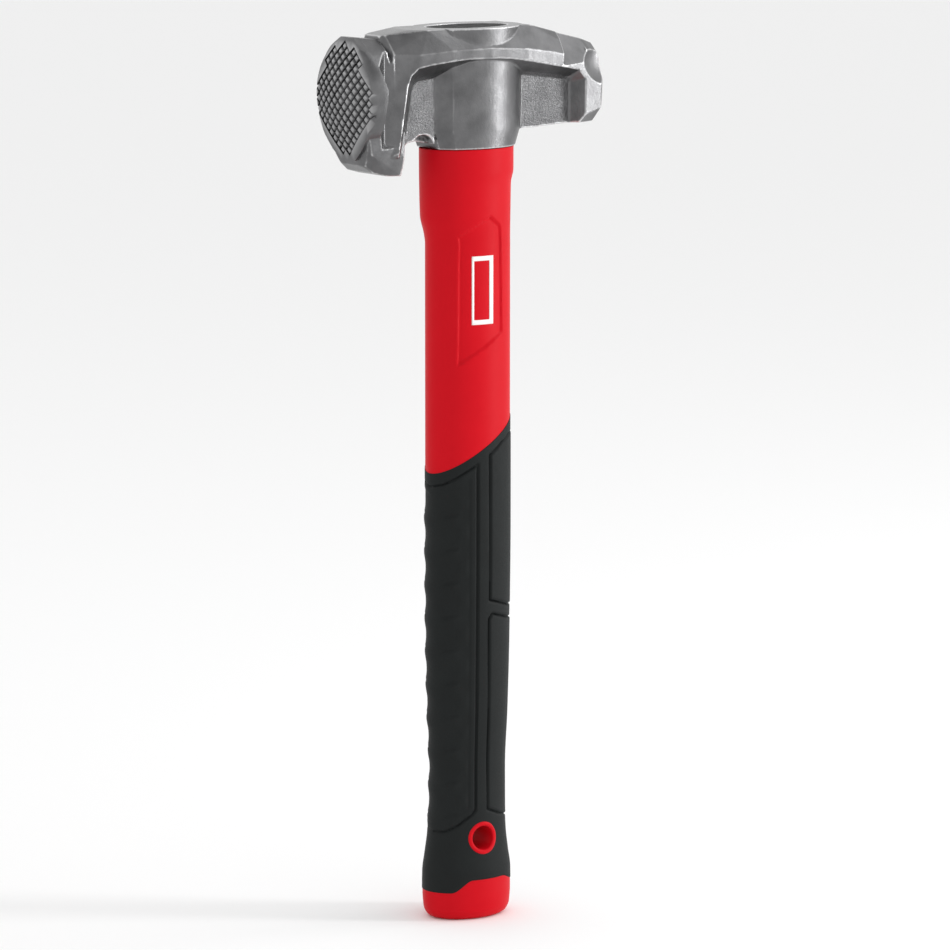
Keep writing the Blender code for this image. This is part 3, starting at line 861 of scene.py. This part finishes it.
jacket = mould_jacket()
settle(jacket, RED_NYLON, ["handle_jacket"])
jacket.data.set_sharp_from_angle(angle=math.radians(50))

# %% [markdown]
# ## The black grip
# The grip has a finger pad along the front, with ten soft humps one finger-crease apart, a
# smooth spine along each cheek, and two flat panels over the back for the palm. Narrow
# grooves outline them. All of it is pushed into or out of the handle's surface.

# %% Mould the grip
HUMP_PITCH = 14.4
LOWEST_HUMP = 45.0
HUMPS = 10
HUMP_HEIGHT = 0.65
SMALL_HUMP_HEIGHT = 0.35   # of the row beside the humps
PAD = [(-20.0, 186.6), (0.0, 186.7), (8.2, 188.2), (13.7, 190.9), (21.0, 195.4), (22.9, 196.6),
       (22.9, 47.5), (21.0, 45.3), (18.3, 43.7), (14.3, 40.8), (8.5, 38.3), (0.0, 37.8),
       (-20.0, 37.8)]
# Outlines of the back panels, measured round from the middle of the back
UPPER_PANEL = [(26.6, 200.3), (20.4, 204.9), (14.3, 207.9), (-20.0, 212.0), (-20.0, 132.8),
               (14.3, 134.3), (26.4, 138.0)]
LOWER_PANEL = [(26.8, 129.8), (25.2, 132.0), (14.0, 128.8), (-20.0, 127.0), (-20.0, 41.0),
               (8.9, 42.4), (18.3, 44.4), (26.0, 47.3)]


def groove(distance, half_width, depth):
    """A round-shouldered groove along the line where distance is zero."""
    return -depth * (1 - smooth(np.abs(distance), half_width * 0.35, half_width * 1.25))


def grip_relief(turn, z):
    """How far the grip stands proud of the handle's surface, in mm."""
    degrees = np.abs(np.degrees(turn))
    from_front = (180 - degrees) * MM_PER_DEGREE
    from_back = degrees * MM_PER_DEGREE
    pad = inside_distance(PAD, from_front, z)
    relief = groove(pad, 0.6, 0.9)
    relief -= 0.3 * smooth(pad, 2.4, 3.4)
    for panel in (UPPER_PANEL, LOWER_PANEL):
        distance = inside_distance(panel, from_back, z)
        relief += groove(distance, 0.5, 1.0)
        relief += 0.15 * smooth(distance, 0.5, 1.0)
    # Humps lean up towards the cheeks, and each has a crease over its shoulder.
    lean = z - 0.22 * (np.sqrt(from_front ** 2 + 9.0) - 11.0)
    phase = (lean - LOWEST_HUMP) / HUMP_PITCH
    hump = 0.5 + 0.5 * np.cos(2 * np.pi * (phase + 0.11))
    along = smooth(lean, LOWEST_HUMP - 6, LOWEST_HUMP)
    along *= 1 - smooth(lean, LOWEST_HUMP + (HUMPS - 0.8) * HUMP_PITCH,
                        LOWEST_HUMP + (HUMPS - 0.4) * HUMP_PITCH)
    across = 1 - smooth(from_front, 12.5, 17.5)
    relief += HUMP_HEIGHT * hump ** 1.4 * along * across
    small = 0.5 + 0.5 * np.cos(2 * np.pi * (phase + 0.61))
    beside = smooth(from_front, 13.5, 16.0) * (1 - smooth(from_front, 18.0, 20.0))
    relief += SMALL_HUMP_HEIGHT * small ** 1.5 * along * beside
    to_crease = np.abs(phase - np.round(phase)) * HUMP_PITCH
    reach = smooth(from_front, 6.5, 9.5) * (1 - smooth(from_front, 13.0, 16.0))
    relief += groove(to_crease, 0.75, 0.55) * reach * along
    return relief


LIP = 0.7                  # radius of the grip's rounded edges
WALL = 1.1                 # thickness of the rubber over the seat
PROUD = 0.22               # how far the rubber stands above the red beside it
GRIP_SQUARES = (264, 330)


def grip_point(turn, share):
    """A point on the grip's outside, its two lips or its inside."""
    low, high = sleeve_bottom(turn), sleeve_top(turn)
    outside, lip_end = 0.93, 0.95
    # Outside, bottom to top
    up = np.clip(share / outside, 0, 1)
    z = low + (high - low) * up
    to_edge = np.minimum(z - low, high - z)
    rounding = LIP - np.sqrt(np.clip(LIP ** 2 - np.clip(LIP - to_edge, 0, LIP) ** 2, 0, None))
    proud = PROUD + grip_relief(turn, z) - rounding
    # Inside, top to bottom
    down = np.clip((share - lip_end) / (1 - lip_end), 0, 1)
    inner_z = high + (low - high) * down
    inner = share > outside
    return on_handle(turn, np.where(inner, inner_z, z), np.where(inner, -WALL, proud))


def mould_grip():
    """The grip: outside and inside from one tube whose ends are then joined."""
    bm = tube(*GRIP_SQUARES)
    lay(bm, grip_point)
    bmesh.ops.bridge_loops(bm, edges=[e for e in bm.edges if e.is_boundary])
    mesh = carve(solid(bm), [('DIFFERENCE', rod(HOLE_X, HOLE_Z, HOLE_RADIUS + BORE_CLEAR, -30, 30))])
    made = bpy.data.objects.new("rubber_grip", mesh)
    bpy.context.scene.collection.objects.link(made)
    return made


grip = mould_grip()
settle(grip, BLACK_RUBBER, ["grip_sleeve"])
grip.data.set_sharp_from_angle(angle=math.radians(60))

# %% [markdown]
# ## The lanyard bush
# The red jacket comes up through the grip as a raised ring on each cheek, and the ring goes
# on through the handle as the bore. One closed tube does both: its rows run out over the
# ring on one cheek, through the bore, and over the ring on the other.

# %% Mould the bush
def bush_profile(share):
    """Radius, height above the handle and share of the way across, along the bush's skin."""
    steps = [(0.0, RING_RADIUS, -2.0, 1), (0.08, RING_RADIUS, 0.0, 1),
             (0.14, RING_RADIUS - 0.25, 0.45, 1), (0.20, RING_RADIUS - 0.8, 0.62, 1),
             (0.28, HOLE_RADIUS + 0.6, 0.55, 1), (0.34, HOLE_RADIUS + 0.1, 0.25, 1),
             (0.38, HOLE_RADIUS, -0.4, 1), (0.5, HOLE_RADIUS, 0.0, 0)]
    half = np.where(share > 0.5, 1 - share, share)
    stops = [step[0] for step in steps]
    radius, above, side = (np.interp(half, stops, [s[i] for s in steps]) for i in (1, 2, 3))
    return radius, above, np.where(share > 0.5, -side, side)


def bush_point(turn, share):
    """A point on the bush."""
    radius, above, side = bush_profile(share)
    x = HOLE_X + radius * np.cos(turn)
    z = HOLE_Z + radius * np.sin(turn)
    centre, half_x, half_y = handle_outline(z)
    cheek = half_y * np.sqrt(np.clip(1 - ((x - centre) / half_x) ** 2, 0, 1))
    return np.stack([x, side * (cheek + above), z], axis=-1)


def mould_bush():
    """The bush, closed by joining its first and last rows below the grip."""
    bm = tube(72, 50)
    lay(bm, bush_point)
    bmesh.ops.bridge_loops(bm, edges=[e for e in bm.edges if e.is_boundary])
    return solid(bm, "lanyard_bush")


bush = mould_bush()
settle(bush, RED_NYLON, ["handle_jacket"])

# %% [markdown]
# ## The label's print
# The recess carries a plain empty frame, printed in white, as a place for an owner's own mark.
# It is a small grid with its middle taken out, laid on the recess floor and given the
# thickness of a film of ink.

# %% Print the frame
FRAME_LOW, FRAME_LENGTH = 256.0, 29.0
FRAME_FRONT, FRAME_WIDTH = 20.6, 10.0   # distance round from the front, and width
FRAME_CELLS = (10, 29)
INK = 0.12                 # thickness of the film


def print_frame(side):
    """The frame on one cheek; side is -1 or 1."""
    bm = bmesh.new()
    bmesh.ops.create_grid(bm, x_segments=FRAME_CELLS[0], y_segments=FRAME_CELLS[1], size=0.5)
    inner = [0.5 - 1.5 / count for count in FRAME_CELLS]
    middle = [f for f in bm.faces if abs(f.calc_center_median().x) < inner[0]
              and abs(f.calc_center_median().y) < inner[1]]
    bmesh.ops.delete(bm, geom=middle, context='FACES')
    for vert in bm.verts:
        z = FRAME_LOW + FRAME_LENGTH * (vert.co.y + 0.5)
        front = FRAME_FRONT + FRAME_WIDTH * (vert.co.x + 0.5)
        turn = side * math.radians(180 - front / MM_PER_DEGREE)
        vert.co = on_handle(np.array(turn), np.array(z), -LABEL_DEPTH + 0.02)
    made = solid(bm, "label_frame_right" if side < 0 else "label_frame_left")
    film = made.modifiers.new("film", 'SOLIDIFY')
    film.thickness = INK
    film.offset = 0.0
    applied(made)
    settle(made, WHITE_PRINT, ["handle_jacket"])


for side in (-1, 1):
    print_frame(side)

# %% [markdown]
# ## Floor and light
# The floor is a wide pale sheet in a white room. A tall narrow lamp to the right draws one
# clean highlight down the boss and the handle. Two weaker ones, further round and above, open
# up the poll side and the top.

# %% The floor and the lamps
def make_floor():
    """A wide pale floor under the butt."""
    bm = bmesh.new()
    bmesh.ops.create_grid(bm, x_segments=1, y_segments=1, size=30)
    mesh = bpy.data.meshes.new("floor")
    bm.to_mesh(mesh)
    bm.free()
    floor = bpy.data.objects.new("floor", mesh)
    floor.location.z = CAD_BOX[0].z - 0.0002
    bpy.context.scene.collection.objects.link(floor)
    material, _ = new_material("pale_studio_floor", Base_Color=linear("#FAFAFA"),
                               Roughness=0.9)
    mesh.materials.append(material)


def lamp(name, azimuth, elevation, distance, width, height, power):
    """A soft lamp with a rectangular window, aimed at the head's height."""
    light = bpy.data.lights.new(name, 'AREA')
    light.shape = 'RECTANGLE'
    light.size = width
    light.size_y = height
    light.energy = power
    made = bpy.data.objects.new(name, light)
    bpy.context.scene.collection.objects.link(made)
    aim(made, from_direction(math.radians(azimuth), math.radians(elevation)), distance,
        Vector((0, 0, 0.25)))


def make_world():
    """A white room, dimmer overhead, so that the steel has something to mirror."""
    world = bpy.data.worlds.new("studio")
    world.use_nodes = True
    way = add(world, "ShaderNodeTexCoord", {}).outputs["Generated"]
    split = add(world, "ShaderNodeSeparateXYZ", {0: way})
    height = add(world, "ShaderNodeMapRange", {"Value": split.outputs["Z"], "From Min": 0.25,
                                               "From Max": 0.9})
    shade = add(world, "ShaderNodeMix", {0: height.outputs[0], 6: linear("#FFFFFF"),
                                         7: linear("#C4C4C4")}, data_type='RGBA')
    background = world.node_tree.nodes["Background"]
    background.inputs["Strength"].default_value = 1.25
    world.node_tree.links.new(background.inputs["Color"], shade.outputs[2])
    return world


make_floor()
lamp("strip_lamp", -51, 8, 1.4, 0.22, 0.9, 9)
lamp("right_lamp", -76, 20, 1.7, 0.5, 0.9, 1.2)
lamp("top_lamp", -66, 52, 1.6, 0.8, 0.8, 3)
bpy.context.scene.world = make_world()
bpy.context.scene.view_settings.view_transform = 'Standard'
